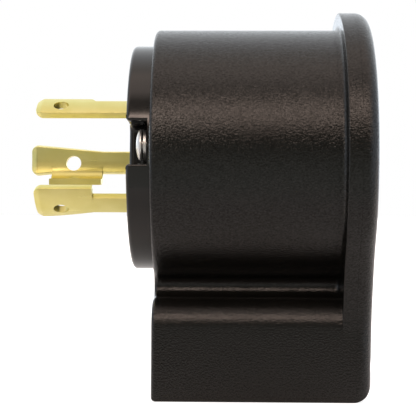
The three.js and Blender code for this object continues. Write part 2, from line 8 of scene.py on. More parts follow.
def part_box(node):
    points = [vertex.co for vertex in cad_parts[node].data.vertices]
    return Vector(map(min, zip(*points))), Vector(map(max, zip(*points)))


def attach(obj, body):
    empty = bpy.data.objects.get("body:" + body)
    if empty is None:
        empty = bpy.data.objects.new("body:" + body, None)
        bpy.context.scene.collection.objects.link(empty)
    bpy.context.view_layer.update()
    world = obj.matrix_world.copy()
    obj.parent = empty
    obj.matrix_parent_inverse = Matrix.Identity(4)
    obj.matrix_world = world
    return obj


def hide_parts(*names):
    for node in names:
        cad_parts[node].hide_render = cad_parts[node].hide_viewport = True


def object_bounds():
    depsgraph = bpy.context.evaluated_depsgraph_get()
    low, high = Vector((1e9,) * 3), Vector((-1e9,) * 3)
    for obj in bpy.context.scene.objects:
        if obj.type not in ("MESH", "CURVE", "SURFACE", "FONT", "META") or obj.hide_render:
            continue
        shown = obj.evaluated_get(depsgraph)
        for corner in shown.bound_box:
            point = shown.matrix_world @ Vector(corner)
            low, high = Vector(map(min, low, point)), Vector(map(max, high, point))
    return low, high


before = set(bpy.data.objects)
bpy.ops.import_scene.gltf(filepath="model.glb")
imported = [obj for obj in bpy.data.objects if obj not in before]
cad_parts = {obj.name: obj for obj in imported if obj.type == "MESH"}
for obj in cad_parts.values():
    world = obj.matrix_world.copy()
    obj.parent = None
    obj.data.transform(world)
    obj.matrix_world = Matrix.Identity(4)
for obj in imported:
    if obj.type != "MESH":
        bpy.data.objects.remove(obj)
cad_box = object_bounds()

# Lengths in this script are millimetres. Blender's own unit here is the metre.
MM = 0.001


def corner(node, which, axis):
    """One coordinate of a CAD node's box, in millimetres. Which is 0 for low and 1 for high."""
    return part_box(node)[which]["xyz".index(axis)] / MM


# Dimensions taken from the frame.
HOUSING_REAR = corner("rear_housing", 0, "x")
HOUSING_FRONT = corner("rear_housing", 1, "x")
COVER_BACK = corner("front_cover", 0, "x")
COVER_FRONT = corner("front_cover", 1, "x")
FLANGE_RADIUS = corner("rear_housing", 1, "y")
BLOCK_BOTTOM = corner("rear_housing", 0, "z")
INSERT_RADIUS = corner("plug_insert", 1, "z")
INSERT_END = corner("plug_insert", 1, "x")
CORE_BACK = corner("receptacle_core", 0, "x")

PARTING = (HOUSING_FRONT + COVER_BACK) / 2
WASHER_BACK = corner("insert_washer_1", 1, "x")
WASHER_FRONT = corner("insert_washer_1", 0, "x")
SCREW_FACE = corner("insert_screw_1", 0, "x")
SCREW_TIP = corner("insert_screw_1", 1, "x")
COVER_SCREW_TOP = corner("cover_screw_1", 1, "x")
COVER_SCREW_TIP = corner("cover_screw_1", 0, "x")
BLADE_TAIL = corner("line_blade", 1, "x")

# Body details.
BARREL_RADIUS = 29.9
BLOCK_HALF_WIDTH = 21.2
BLOCK_TOP = -31.7
BLOCK_CORNER = 6.3
BASE_CORNER = 0.7
LEAST_CORNER = 0.12
NECK_FILLET = 2.3
FLANGE_BLEND = 36
FLANGE_BACK = 47.4
WALL = 3
SEAT_GAP = 0.25
CELL_WIDTH = 6.6
CELL_PITCH = 8.7
CELL_CORNER = 0.5
REAR_ROUND = 1
ROOT_FILLET = 1.1
FLANGE_EDGE = 0.3
PARTING_GAP = 0.02
PARTING_CHAMFER = 0.01
COVER_ROUND = 3.1
BASE_FRONT_ROUND = 4.3
BASE_BEND = COVER_FRONT - BASE_FRONT_ROUND
DRAFT_TOP = -28
DRAFT_SLOPE = 0.015
# Distance from a rounding to the ring that keeps the flat beside it flat.
SUPPORT = 0.3

# Plug insert and blades. Angles start at -Y, which faces the viewer, and turn towards +Z.
INSERT_RECESS = 1.5
INSERT_SEAT = HOUSING_REAR + INSERT_RECESS - SEAT_GAP
INSERT_ROUND = 0.9
SPIGOT_RADIUS = 17.5
SLOT_MARGIN = 1.6
SCREW_CIRCLE = 20.9
SCREW_ANGLES = (5.6, 125.6, 245.6)
SCREW_HEAD_RADIUS = 3.5
SCREW_HEAD_BACK = 3.3
SCREW_RIM = 0.2
SCREW_SHANK = 1.45
SCREW_POINT = 0.4
SCREW_POINT_LENGTH = 0.6
SCREW_BEVEL = 0.05
# A cross recess is cut to a depth, and each arm reaches so far from the middle.
SCREW_RECESS = (1, 1.7)
WASHER_RADII = (1.75, 3.35)
# A spring washer: the share of its height that is metal, its outer bevel as a share of its
# thickness and an inset, and the gap between its ends and where it starts, in degrees.
WASHER_METAL = 0.8
WASHER_BEVEL = (0.1, 0.08)
WASHER_GAP = 15
WASHER_START = 20
NOTCH_HALF_WIDTH = 4.7
NOTCH_INNER = 16.1
NOTCH_FLOOR = WASHER_BACK + SEAT_GAP
NOTCH_CORNER = 0.5
NOTCH_HOLLOW = 1.2
BLADE_RADIUS = 14.35
BLADE_THICKNESS = 1.8
BLADE_INNER = BLADE_RADIUS - BLADE_THICKNESS
BLADE_EDGE = 0.16
HOLE_FLARE = 0.1
HOLE_REACH = (10, 18)
TIP_CORNER = 1.8
TIP_BEVEL = 1.3
TIP_THINNING = 0.55
# Distance from a blade's tip to the extra ring behind it.
TIP_RING = 0.05
# The ground blade's leg: its span along X, the angle where it leaves the blade, the height of
# its flat part and that part's points along Y, and its extra thickness at the start.
LEG_X = (-21.7, -9)
LEG_THICKNESS = 1.5
LEG_START = 188
LEG_Z = -5.6
LEG_FLAT = (8.4, 7.8, 7.3)
LEG_CORNER = 0.2
LEG_EXTRA = 0.04

# Receptacle.
CORE_RADIUS = 20.3
SKIRT_RADIUS = 23.4
CORE_EDGE = 0.4
CHAMBER_END = 50
SLOT_PLACE = (8.4, 3.8)
SLOT_SIZE = (2.6, 9.5)
SLOT_LEAN = 45
CHAMBER_SIZE = (6.4, 10.4)
CHAMBER_CORNER = 0.6
SLOT_CORNER = 0.3
MOUTH_CORNER = 0.6
GROUND_PLACE = (0, -8.6)
GROUND_HOLE = 2.75
GROUND_CHAMBER = 5
MOUTH_FLARE = 0.5
COVER_SCREW_CIRCLE = 27.6
UPPER_SCREW = COVER_SCREW_CIRCLE * math.sqrt(0.5)
LOWER_SCREW_Y = 16.2
LOWER_SCREW_Z = -46.5
COVER_SCREW_PLACES = [
    (-UPPER_SCREW, UPPER_SCREW),
    (UPPER_SCREW, UPPER_SCREW),
    (-LOWER_SCREW_Y, LOWER_SCREW_Z),
    (LOWER_SCREW_Y, LOWER_SCREW_Z),
]
COVER_HEAD_RADIUS = 2.6
COVER_HEAD_BEVEL = 0.1
# Depths below the top of a cover screw's head: its straight rim, and the foot of its cone.
COVER_HEAD_RIM = (0.08, 0.25)
COVER_HEAD_DEPTH = 1.7
COVER_SHANK = 1.25
COVER_POINT = 0.3
COVER_POINT_LENGTH = 1
COVER_TOP_CENTRE = 0.4
COVER_RECESS = (1.2, 1.5)
# The well in the cover: the room round the screw, the depths below the screw's top between
# which the well narrows, and how far the cutting tool runs past the cover.
WELL_ROOM = 0.35
WELL_CONE = (0.3, 2)
WELL_OVERRUN = 1
# Widths of a cross recess's arms at the surface and at the bottom, and their corners.
CROSS_WIDTHS = (0.75, 0.5)
CROSS_CORNER = 0.2


# ---- Mesh building -------------------------------------------------------------------------

SHARP_ANGLE = 38
MERGE_DISTANCE = 0.002
LEAST_EDGE = 0.0005
BORE_STEPS = 128
SPIGOT_STEPS = 96
TURNED_STEPS = 64
HOLE_STEPS = 48
QUARTER_STEPS = 8
COVER_ROUND_STEPS = 14
ROOT_FILLET_STEPS = 6
EDGE_STEPS = 5
SLOT_CORNER_STEPS = 6


class Skin:
    """Rings of points joined by faces. A point is (x, y, z) in millimetres."""

    def __init__(self):
        self.mesh = bmesh.new()

    def ring(self, points):
        return [self.mesh.verts.new([c * MM for c in point]) for point in points]

    def bridge(self, low, high):
        count = len(low)
        for i in range(count):
            j = (i + 1) % count
            self.mesh.faces.new((low[i], low[j], high[j], high[i]))

    def loft(self, rings):
        """Joins each ring of points to the next and returns the first and last ring."""
        made = [self.ring(points) for points in rings]
        for low, high in zip(made, made[1:]):
            self.bridge(low, high)
        return made[0], made[-1]

    def fill(self, *loops):
        """Fills the flat region between one outer loop and any inner loops."""
        edges = []
        for loop in loops:
            for a, b in zip(loop, loop[1:] + loop[:1]):
                edges.append(self.mesh.edges.get((a, b)) or self.mesh.edges.new((a, b)))
        bmesh.ops.triangle_fill(self.mesh, use_beauty=True, edges=edges)

    def piece(self, name, material):
        """Turns the skin into an object, its doubled points merged."""
        bmesh.ops.remove_doubles(self.mesh, verts=self.mesh.verts, dist=MERGE_DISTANCE * MM)
        bmesh.ops.dissolve_degenerate(self.mesh, edges=self.mesh.edges, dist=LEAST_EDGE * MM)
        bmesh.ops.recalc_face_normals(self.mesh, faces=self.mesh.faces)
        data = bpy.data.meshes.new(name)
        self.mesh.to_mesh(data)
        self.mesh.free()
        return as_object(name, data, material)


def as_object(name, data, material):
    """Object of one material, shaded smooth but for its sharp edges."""
    data.shade_smooth()
    data.set_sharp_from_angle(angle=math.radians(SHARP_ANGLE))
    data.materials.clear()
    data.materials.append(material)
    piece = bpy.data.objects.new(name, data)
    bpy.context.scene.collection.objects.link(piece)
    return piece


def closed_piece(name, rings, material):
    """Lofts rings of points and fills both ends."""
    skin = Skin()
    for loop in skin.loft(rings):
        skin.fill(loop)
    return skin.piece(name, material)


def combine(piece, tool, operation):
    """Applies a boolean of one piece with a tool, which is then deleted."""
    modifier = piece.modifiers.new("cut", "BOOLEAN")
    modifier.operation = operation
    modifier.solver = "EXACT"
    modifier.object = tool
    graph = bpy.context.evaluated_depsgraph_get()
    data = bpy.data.meshes.new_from_object(piece.evaluated_get(graph))
    material = piece.data.materials[0]
    name = piece.name
    bpy.data.objects.remove(piece)
    bpy.data.objects.remove(tool)
    return as_object(name, data, material)


def arc(y, z, radius, start, end, steps):
    """Points (y, z) along an arc, with angles in degrees from +Y towards +Z."""
    points = []
    for step in range(steps + 1):
        angle = math.radians(start + (end - start) * step / steps)
        points.append((y + radius * math.cos(angle), z + radius * math.sin(angle)))
    return points


def line(start, end, steps):
    """Points from start towards end, without the end itself."""
    return [
        (start[0] + (end[0] - start[0]) * k / steps, start[1] + (end[1] - start[1]) * k / steps)
        for k in range(steps)
    ]


def at(x, outline):
    """Puts an outline of (y, z) points at a station along X."""
    return [(x, y, z) for y, z in outline]


def circle(radius, steps, y=0, z=0):
    """Points (y, z) round a circle."""
    return arc(y, z, radius, 0, 360, steps)[:-1]


def quarter(radius, steps=QUARTER_STEPS):
    """Pairs of (distance along the axis, inset) round a quarter circle, from face to side."""
    pairs = []
    for step in range(steps + 1):
        angle = math.radians(90 * step / steps)
        pairs.append((radius * (1 - math.cos(angle)), radius * (1 - math.sin(angle))))
    return pairs


def lathe(profile, y=0, z=0, steps=TURNED_STEPS):
    """Rings for a profile of (radius, x) pairs turned about an axis along X."""
    return [at(x, circle(radius, steps, y, z)) for radius, x in profile]


def turned_piece(name, profile, y, z, material):
    """Solid turned from a profile about an axis along X."""
    return closed_piece(name, lathe(profile, y, z), material)


def rounded_slot(width, length, radius, y, z, lean):
    """Rectangle with round corners. Lean is the angle of its length from +Z, in degrees."""
    half_width, half_length = width / 2 - radius, length / 2 - radius
    points = []
    for sign_y, sign_z, start in ((1, 1, 0), (-1, 1, 90), (-1, -1, 180), (1, -1, 270)):
        centre = sign_y * half_width, sign_z * half_length
        points += arc(*centre, radius, start, start + 90, SLOT_CORNER_STEPS)
    turn = math.radians(lean)
    return [
        (y + u * math.cos(turn) - v * math.sin(turn), z + u * math.sin(turn) + v * math.cos(turn))
        for u, v in points
    ]


# ---- Outlines of the body ------------------------------------------------------------------

ROUND_STEPS = 176
TAIL_STEPS = 14
FILLET_STEPS = 12
CORNER_STEPS = 16
SIDE_STEPS = 6
BASE_STEPS = 6
BASE_SPANS = 4

BLEND_Y = BLOCK_HALF_WIDTH + FLANGE_BLEND
BLEND_Z = -math.sqrt((FLANGE_RADIUS + FLANGE_BLEND) ** 2 - BLEND_Y**2)
BLEND_ANGLE = math.degrees(math.atan2(BLEND_Z, BLEND_Y))
NECK_Z = BLOCK_TOP + NECK_FILLET
NECK_Y = math.sqrt((BARREL_RADIUS + NECK_FILLET) ** 2 - NECK_Z**2)
NECK_ANGLE = math.degrees(math.atan2(NECK_Z, NECK_Y))


def mirrored(half):
    """Closes an outline from its left half, which runs from the top of the body to its base."""
    return half + [(-y, z) for y, z in reversed(half)]


def base_half(inset, rise):
    """Left side of the block below the flange's blend, and the left half of its base."""
    radius = max(BASE_CORNER - inset, LEAST_CORNER)
    y = inset + radius - BLOCK_HALF_WIDTH
    z = BLOCK_BOTTOM + max(inset, rise) + radius
    side = line((inset - BLOCK_HALF_WIDTH, BLEND_Z), (inset - BLOCK_HALF_WIDTH, z), SIDE_STEPS)
    return side + arc(y, z, radius, 180, 270, BASE_STEPS)


def top_arc(radius):
    """Left half of the round part, down to where the flange's blend starts."""
    half = arc(0, 0, radius, 90, 180 - BLEND_ANGLE, ROUND_STEPS // 2)
    return half[:-1]


def barrel_outline(inset=0, rise=0):
    """Barrel circle, small concave neck, and the block's large top corners."""
    tail = arc(0, 0, BARREL_RADIUS - inset, 180 - BLEND_ANGLE, 180 - NECK_ANGLE, TAIL_STEPS)
    neck = arc(-NECK_Y, NECK_Z, NECK_FILLET + inset, -NECK_ANGLE, -90, FILLET_STEPS)
    corner_y = BLOCK_CORNER - BLOCK_HALF_WIDTH
    corner_z = BLOCK_TOP - BLOCK_CORNER
    top_corner = arc(corner_y, corner_z, BLOCK_CORNER - inset, 90, 180, CORNER_STEPS)
    half = top_arc(BARREL_RADIUS - inset) + tail[:-1] + neck + top_corner
    return mirrored(half + base_half(inset, rise))


def flange_outline(inset=0, rise=0):
    """Flange circle blended into the sides of the block, point for point with the barrel."""
    steps = TAIL_STEPS + FILLET_STEPS + CORNER_STEPS + 2
    blend = arc(-BLEND_Y, BLEND_Z, FLANGE_BLEND + inset, -BLEND_ANGLE, 0, steps)
    half = top_arc(FLANGE_RADIUS - inset) + blend[:-1]
    return mirrored(half + base_half(inset, rise))


def flange_ring(x, inset=0, further=0):
    """Flange outline at a station, its base raised where the front edge is rounded."""
    past = max(x - BASE_BEND, 0)
    rise = BASE_FRONT_ROUND - math.sqrt(BASE_FRONT_ROUND**2 - past**2)
    return at(x, flange_outline(inset, rise + further))


def towards(start, end, distance):
    """Moves each point of one outline towards its partner by a distance, or all the way."""
    moved = []
    for (y0, z0), (y1, z1) in zip(start, end):
        gap = math.hypot(y1 - y0, z1 - z0)
        share = min(distance, gap) / gap if gap > 1e-6 else 0
        moved.append((y0 + (y1 - y0) * share, z0 + (z1 - z0) * share))
    return moved


# ---- Casings -------------------------------------------------------------------------------


def block_cells(skin):
    """Cored-out cells inside the grip block. Returns their mouths in the parting plane."""
    back = INSERT_SEAT + SEAT_GAP + WALL
    middle = (BLOCK_TOP + BLOCK_BOTTOM) / 2
    height = BLOCK_TOP - BLOCK_BOTTOM - 2 * WALL
    mouths = []
    for column in (-1, 0, 1):
        cell = rounded_slot(CELL_WIDTH, height, CELL_CORNER, column * CELL_PITCH, middle, 0)
        floor_loop, mouth = skin.loft([at(back, cell), at(PARTING - PARTING_GAP / 2, cell)])
        skin.fill(floor_loop)
        mouths.append(mouth)
    return mouths


def rear_housing(material):
    """Barrel, flange and rear of the grip block, with the plug's recess in its back."""
    skin = Skin()
    barrel, flange = barrel_outline(), flange_outline()
    front = PARTING - PARTING_GAP / 2
    rings = [at(HOUSING_REAR, barrel_outline(REAR_ROUND + SUPPORT))]
    rings += [at(HOUSING_REAR + x, barrel_outline(inset)) for x, inset in quarter(REAR_ROUND)]
    rings += [at(HOUSING_REAR + REAR_ROUND + SUPPORT, barrel)]
    rings += [at(FLANGE_BACK - ROOT_FILLET - SUPPORT, barrel)]
    for x, reach in quarter(ROOT_FILLET, ROOT_FILLET_STEPS):
        # The fillet is hollow, so the distance along the axis and the reach swap places.
        rings.append(at(FLANGE_BACK - reach, towards(barrel, flange, x)))
    rings += [at(FLANGE_BACK, towards(barrel, flange, ROOT_FILLET + SUPPORT))]
    rings += [at(FLANGE_BACK, towards(flange, barrel, FLANGE_EDGE + SUPPORT))]
    for x, inset in quarter(FLANGE_EDGE, EDGE_STEPS):
        rings.append(at(FLANGE_BACK + x, towards(flange, barrel, inset)))
    rings += [at(FLANGE_BACK + FLANGE_EDGE + SUPPORT, flange)]
    side_end = front - PARTING_CHAMFER
    length = side_end - BASE_BEND
    rings += [flange_ring(BASE_BEND + length * k / BASE_SPANS) for k in range(BASE_SPANS + 1)]
    rings += [flange_ring(front, PARTING_CHAMFER)]
    rear, rim = skin.loft(rings)
    back_wall = INSERT_SEAT + SEAT_GAP + WALL
    recess, mouth = INSERT_RADIUS + SEAT_GAP, SPIGOT_RADIUS + SEAT_GAP
    profile = [
        (recess, HOUSING_REAR),
        (recess, INSERT_SEAT + SEAT_GAP),
        (mouth, INSERT_SEAT + SEAT_GAP),
        (mouth, back_wall),
        (BARREL_RADIUS - WALL, back_wall),
        (BARREL_RADIUS - WALL, front),
    ]
    bore_rear, bore_front = skin.loft(lathe(profile, steps=BORE_STEPS))
    skin.fill(rear, bore_rear)
    skin.fill(rim, bore_front, *block_cells(skin))
    return skin.piece("rear_housing_shell", material)


def lean_back(skin):
    """Takes the front of the block back a little, more towards its base."""
    parts = [*skin.mesh.verts, *skin.mesh.edges, *skin.mesh.faces]
    bmesh.ops.bisect_plane(skin.mesh, geom=parts, plane_co=(0, 0, DRAFT_TOP * MM), plane_no=(0, 0, 1))
    for vert in skin.mesh.verts:
        share = (vert.co.x / MM - PARTING) / (COVER_FRONT - PARTING)
        vert.co.x -= DRAFT_SLOPE * max(DRAFT_TOP * MM - vert.co.z, 0) * share


def front_cover(material):
    """Front of the flange and block, with a hole for the receptacle and four screw wells."""
    skin = Skin()
    back = PARTING + PARTING_GAP / 2
    rings = [flange_ring(back, PARTING_CHAMFER), flange_ring(back + PARTING_CHAMFER)]
    for x, inset in reversed(quarter(COVER_ROUND, COVER_ROUND_STEPS)):
        rings.append(flange_ring(COVER_FRONT - x, inset))
    rings += [flange_ring(COVER_FRONT, COVER_ROUND + SUPPORT, SUPPORT)]
    back_rim, front_rim = skin.loft(rings)
    hole = CORE_RADIUS + SEAT_GAP
    lip = reversed(quarter(CORE_EDGE, EDGE_STEPS))
    profile = [
        (hole, back),
        *[(hole + inset, COVER_FRONT - x) for x, inset in lip],
        (hole + CORE_EDGE + SUPPORT, COVER_FRONT),
    ]
    low, high = skin.loft(lathe(profile, steps=BORE_STEPS))
    skin.fill(back_rim, low)
    skin.fill(front_rim, high)
    lean_back(skin)
    piece = skin.piece("front_cover_shell", material)
    for place in COVER_SCREW_PLACES:
        piece = combine(piece, screw_well(place, material), "DIFFERENCE")
    return piece


def screw_well(place, material):
    """Solid the shape of a screw's hole in the cover: a clearance hole under a wide well."""
    clearance, sink = COVER_SHANK + WELL_ROOM, COVER_HEAD_RADIUS + WELL_ROOM
    profile = [
        (clearance, PARTING - WELL_OVERRUN),
        (clearance, COVER_SCREW_TOP - WELL_CONE[1]),
        (sink, COVER_SCREW_TOP - WELL_CONE[0]),
        (sink, COVER_FRONT + WELL_OVERRUN),
    ]
    return turned_piece("screw_well", profile, *place, material)


def receptacle_core(material):
    """Round core with two slots and a ground hole, each the mouth of a wider chamber."""
    skin = Skin()
    shoulder = PARTING - SEAT_GAP / 2
    edge = reversed(quarter(CORE_EDGE, EDGE_STEPS))
    profile = [
        (SKIRT_RADIUS, CORE_BACK),
        (SKIRT_RADIUS, shoulder),
        (CORE_RADIUS, shoulder),
        (CORE_RADIUS, COVER_FRONT - CORE_EDGE - SUPPORT),
        *[(CORE_RADIUS - inset, COVER_FRONT - x) for x, inset in edge],
        (CORE_RADIUS - CORE_EDGE - SUPPORT, COVER_FRONT),
    ]
    back, front = skin.loft(lathe(profile, steps=BORE_STEPS))
    back_loops, front_loops = [back], [front]
    for side in (-1, 1):
        place = (side * SLOT_PLACE[0], SLOT_PLACE[1], side * SLOT_LEAN)
        chamber = rounded_slot(*CHAMBER_SIZE, CHAMBER_CORNER, *place)
        slot = rounded_slot(*SLOT_SIZE, SLOT_CORNER, *place)
        mouth_size = [length + 2 * MOUTH_FLARE for length in SLOT_SIZE]
        mouth = rounded_slot(*mouth_size, MOUTH_CORNER, *place)
        rings = [at(CORE_BACK, chamber), at(CHAMBER_END, chamber), at(CHAMBER_END, slot)]
        rings += [at(COVER_FRONT - MOUTH_FLARE, slot), at(COVER_FRONT, mouth)]
        low, high = skin.loft(rings)
        back_loops.append(low)
        front_loops.append(high)
    profile = [
        (GROUND_CHAMBER, CORE_BACK),
        (GROUND_CHAMBER, CHAMBER_END),
        (GROUND_HOLE, CHAMBER_END),
        (GROUND_HOLE, COVER_FRONT - MOUTH_FLARE),
        (GROUND_HOLE + MOUTH_FLARE, COVER_FRONT),
    ]
    low, high = skin.loft(lathe(profile, *GROUND_PLACE, HOLE_STEPS))
    skin.fill(*back_loops, low)
    skin.fill(*front_loops, high)
    return skin.piece("receptacle_face", material)


# ---- Plug insert ---------------------------------------------------------------------------

NOTCH_STEPS = 8
NOTCH_SIDE_STEPS = 6
NOTCH_FLOOR_STEPS = 4
RIM_STEPS = 56
SECTOR_STEPS = 20


def plug_direction(angle):
    """Converts an angle round the plug to degrees from +Y towards +Z."""
    return 180 - angle


def insert_outline(inset=0, notched=True):
    """Rim circle with a screw pocket cut into it at each screw, or the plain circle."""
    rim = INSERT_RADIUS - inset
    corner_u = NOTCH_HALF_WIDTH + NOTCH_CORNER
    corner_v = math.sqrt((INSERT_RADIUS - NOTCH_CORNER) ** 2 - corner_u**2)
    spread = math.degrees(math.atan2(corner_u, corner_v))
    hollow_u = NOTCH_HALF_WIDTH - NOTCH_HOLLOW
    hollow_v = NOTCH_INNER + NOTCH_HOLLOW
    convex, concave = NOTCH_CORNER - inset, NOTCH_HOLLOW + inset
    side_u, floor_v = hollow_u + concave, hollow_v - concave
    notch = arc(-corner_u, corner_v, convex, 90 + spread, 0, NOTCH_STEPS)
    notch += line((-side_u, corner_v), (-side_u, hollow_v), NOTCH_SIDE_STEPS)[1:]
    notch += arc(-hollow_u, hollow_v, concave, 180, 270, NOTCH_STEPS)
    notch += line((-hollow_u, floor_v), (hollow_u, floor_v), NOTCH_FLOOR_STEPS)[1:]
    notch += arc(hollow_u, hollow_v, concave, 270, 360, NOTCH_STEPS)
    notch += line((side_u, hollow_v), (side_u, corner_v), NOTCH_SIDE_STEPS)[1:]
    notch += arc(corner_u, corner_v, convex, 180, 90 - spread, NOTCH_STEPS)
    points = []
    # The notch path runs towards a falling angle, so the outline goes round the same way.
    directions = sorted((plug_direction(angle) % 360 for angle in SCREW_ANGLES), reverse=True)
    for index, direction in enumerate(directions):
        turn = math.radians(direction)
        radial = (math.cos(turn), math.sin(turn))
        across = (math.sin(turn), -math.cos(turn))
        if notched:
            points += [
                (u * across[0] + v * radial[0], u * across[1] + v * radial[1]) for u, v in notch
            ]
        else:
            points += arc(0, 0, rim, direction + spread, direction - spread, len(notch) - 1)
        following = [*directions, directions[0] - 360][index + 1]
        points += arc(0, 0, rim, direction - spread, following + spread, RIM_STEPS)[1:-1]
    return points


def blade_slot(root):
    """Closed outline of the insert's slot round a curved blade."""
    start, end = plug_direction(root[1]) - SLOT_MARGIN, plug_direction(root[0]) + SLOT_MARGIN
    outline = arc(0, 0, BLADE_RADIUS + SEAT_GAP, start, end, SECTOR_STEPS)
    return outline + arc(0, 0, BLADE_INNER - SEAT_GAP, end, start, SECTOR_STEPS)


def plug_insert(material):
    """Face with three screw pockets, the spigot behind it, and a slot for each blade."""
    skin = Skin()
    rings = [at(0, insert_outline(INSERT_ROUND + SUPPORT))]
    rings += [at(x, insert_outline(inset)) for x, inset in quarter(INSERT_ROUND)]
    rings += [at(INSERT_ROUND + SUPPORT, insert_outline())]
    rings += [at(NOTCH_FLOOR, insert_outline())]
    rings += [at(NOTCH_FLOOR, insert_outline(notched=False))]
    rings += [at(INSERT_SEAT, insert_outline(notched=False))]
    face, seat = skin.loft(rings)
    profile = [(SPIGOT_RADIUS, INSERT_SEAT), (SPIGOT_RADIUS, INSERT_END)]
    spigot_low, spigot_high = skin.loft(lathe(profile, steps=SPIGOT_STEPS))
    skin.fill(seat, spigot_low)
    face_loops, end_loops = [face], [spigot_high]
    for blade in BLADES.values():
        slot = blade_slot(blade["root"])
        low, high = skin.loft([at(0, slot), at(INSERT_END, slot)])
        face_loops.append(low)
        end_loops.append(high)
    skin.fill(*face_loops)
    skin.fill(*end_loops)
    return skin.piece("plug_insert_face", material)


# ---- Blades --------------------------------------------------------------------------------

ROUNDING_STEPS = 4
FACE_STEPS = 23
TIP_STEPS = 10
BLADE_SPANS = 30
BEND_STEPS = 16

# Root is the blade's two edges where it leaves the insert, as angles. Low and high are its long
# edges from the tail to the tip, as (x, angle). Hole is an angle, a place along X and a radius.
BLADES = {
    "line_blade": {
        "root": (43.7, 64.9),
        "low": [(BLADE_TAIL, 43.7), (-22.2, 43.7)],
        "high": [(BLADE_TAIL, 64.9), (-8.7, 64.9), (-9.6, 70.5), (-22.2, 71.5)],
        "hole": (55.6, -16.5, 1.7),
    },
    "neutral_blade": {
        "root": (-64.3, -42.4),
        "low": [(BLADE_TAIL, -64.3), (-9, -64.3), (-22.4, -79)],
        "high": [(BLADE_TAIL, -42.4), (-8.9, -42.4), (-8.95, -31.4), (-22.4, -31.4)],
        "hole": (-58, -16.45, 1.7),
    },
    "ground_blade": {
        "root": (171.6, 194.8),
        "low": [(BLADE_TAIL, 171.6), (-9, 171.6), (-26.8, 164.8)],
        "high": [(BLADE_TAIL, 194.8), (-21, 194.8), (-26.8, 197.2)],
        "hole": (184.3, -16.35, 1.85),
    },
}


def along_edge(edge, x):
    """Angle of a blade's edge at a station, between its listed points."""
    for (x0, angle0), (x1, angle1) in zip(edge, edge[1:]):
        if x1 <= x <= x0:
            return angle0 + (angle1 - angle0) * (x0 - x) / (x0 - x1)
    return edge[-1][1]


def blade_section(low, high, inner, outer):
    """Cross-section of a curved blade with rounded long edges, as (y, z) points."""
    points = []
    for radius, start, end, side in ((outer, low, high, 1), (inner, high, low, -1)):
        rounding = [
            (radius - side * inset, side * math.degrees(along / radius))
            for along, inset in quarter(BLADE_EDGE, ROUNDING_STEPS)
        ]
        turn = rounding[-1][1]
        points += [(reach, start + shift) for reach, shift in rounding]
        points += line((radius, start + turn), (radius, end - turn), FACE_STEPS)[1:]
        points += [(reach, end - shift) for reach, shift in reversed(rounding)]
    outline = []
    for radius, along in points:
        turn = math.radians(plug_direction(along))
        outline.append((radius * math.cos(turn), radius * math.sin(turn)))
    return outline


def blade_body(name, blade, material):
    """Curved blade without its hole. It gets narrower and thinner at its tip."""
    tip = blade["low"][-1][0]
    length = tip - BLADE_TAIL
    stations = {BLADE_TAIL, tip, tip + TIP_RING}
    stations |= {x for edge in (blade["low"], blade["high"]) for x, _ in edge}
    stations |= {tip + along for along, _ in quarter(TIP_CORNER, TIP_STEPS)}
    stations |= {BLADE_TAIL + length * k / BLADE_SPANS for k in range(1, BLADE_SPANS)}
    rings = []
    for x in sorted(stations, reverse=True):
        depth = x - tip
        round_off = max(TIP_CORNER - depth, 0)
        narrow = math.degrees((TIP_CORNER - math.sqrt(TIP_CORNER**2 - round_off**2)) / BLADE_RADIUS)
        thin = TIP_THINNING * max(1 - depth / TIP_BEVEL, 0)
        low = along_edge(blade["low"], x) + narrow
        high = along_edge(blade["high"], x) - narrow
        rings.append(at(x, blade_section(low, high, BLADE_INNER + thin, BLADE_RADIUS - thin)))
    return closed_piece(name, rings, material)


def hole_tool(angle, x, hole):
    """Round bar along a radius of the plug, which cuts a blade's hole."""
    turn = math.radians(plug_direction(angle))
    radial = Vector((0, math.cos(turn), math.sin(turn)))
    across = Vector((1, 0, 0)).cross(radial)
    flare = hole + HOLE_FLARE
    profile = [
        (hole, HOLE_REACH[0]),
        (hole, BLADE_RADIUS - HOLE_FLARE),
        (flare, BLADE_RADIUS),
        (flare, HOLE_REACH[1]),
    ]
    rings = []
    for radius, reach in profile:
        rings.append([
            Vector((x, 0, 0)) + radial * reach + Vector((u, 0, 0)) + across * v
            for u, v in circle(radius, HOLE_STEPS)
        ])
    return closed_piece("hole_tool", rings, bpy.data.materials.new("tool"))


def ground_leg(material):
    """Leg folded in from the ground blade: a strip that leaves it in a wide bend."""
    middle = (BLADE_RADIUS + BLADE_INNER) / 2
    start = math.radians(plug_direction(LEG_START))
    start_y, start_z = middle * math.cos(start), middle * math.sin(start)
    lean = LEG_START - 180
    bend = (start_z - LEG_Z) / (1 - math.sin(math.radians(lean)))
    bend_y = start_y - bend * math.cos(math.radians(lean))
    bend_z = LEG_Z + bend
    centre = arc(bend_y, bend_z, bend, -lean, -90, BEND_STEPS)
    centre += [(y, LEG_Z) for y in LEG_FLAT]
    middle_x = sum(LEG_X) / 2
    rings = []
    for index, (y, z) in enumerate(centre):
        before, after = centre[max(index - 1, 0)], centre[min(index + 1, len(centre) - 1)]
        heading = Vector((after[0] - before[0], after[1] - before[1])).normalized()
        normal = Vector((-heading.y, heading.x))
        # The leg starts a hair thicker than the blade, so its face runs on from the blade's.
        thickness = max(LEG_THICKNESS, BLADE_THICKNESS + LEG_EXTRA * (1 - index))
        section = rounded_slot(thickness, LEG_X[1] - LEG_X[0], LEG_CORNER, 0, 0, 0)
        rings.append([(middle_x + v, y + normal.x * u, z + normal.y * u) for u, v in section])
    return closed_piece("ground_leg", rings, material)


# ---- Fasteners -----------------------------------------------------------------------------

DOME_STEPS = 10
WASHER_STEPS = 60


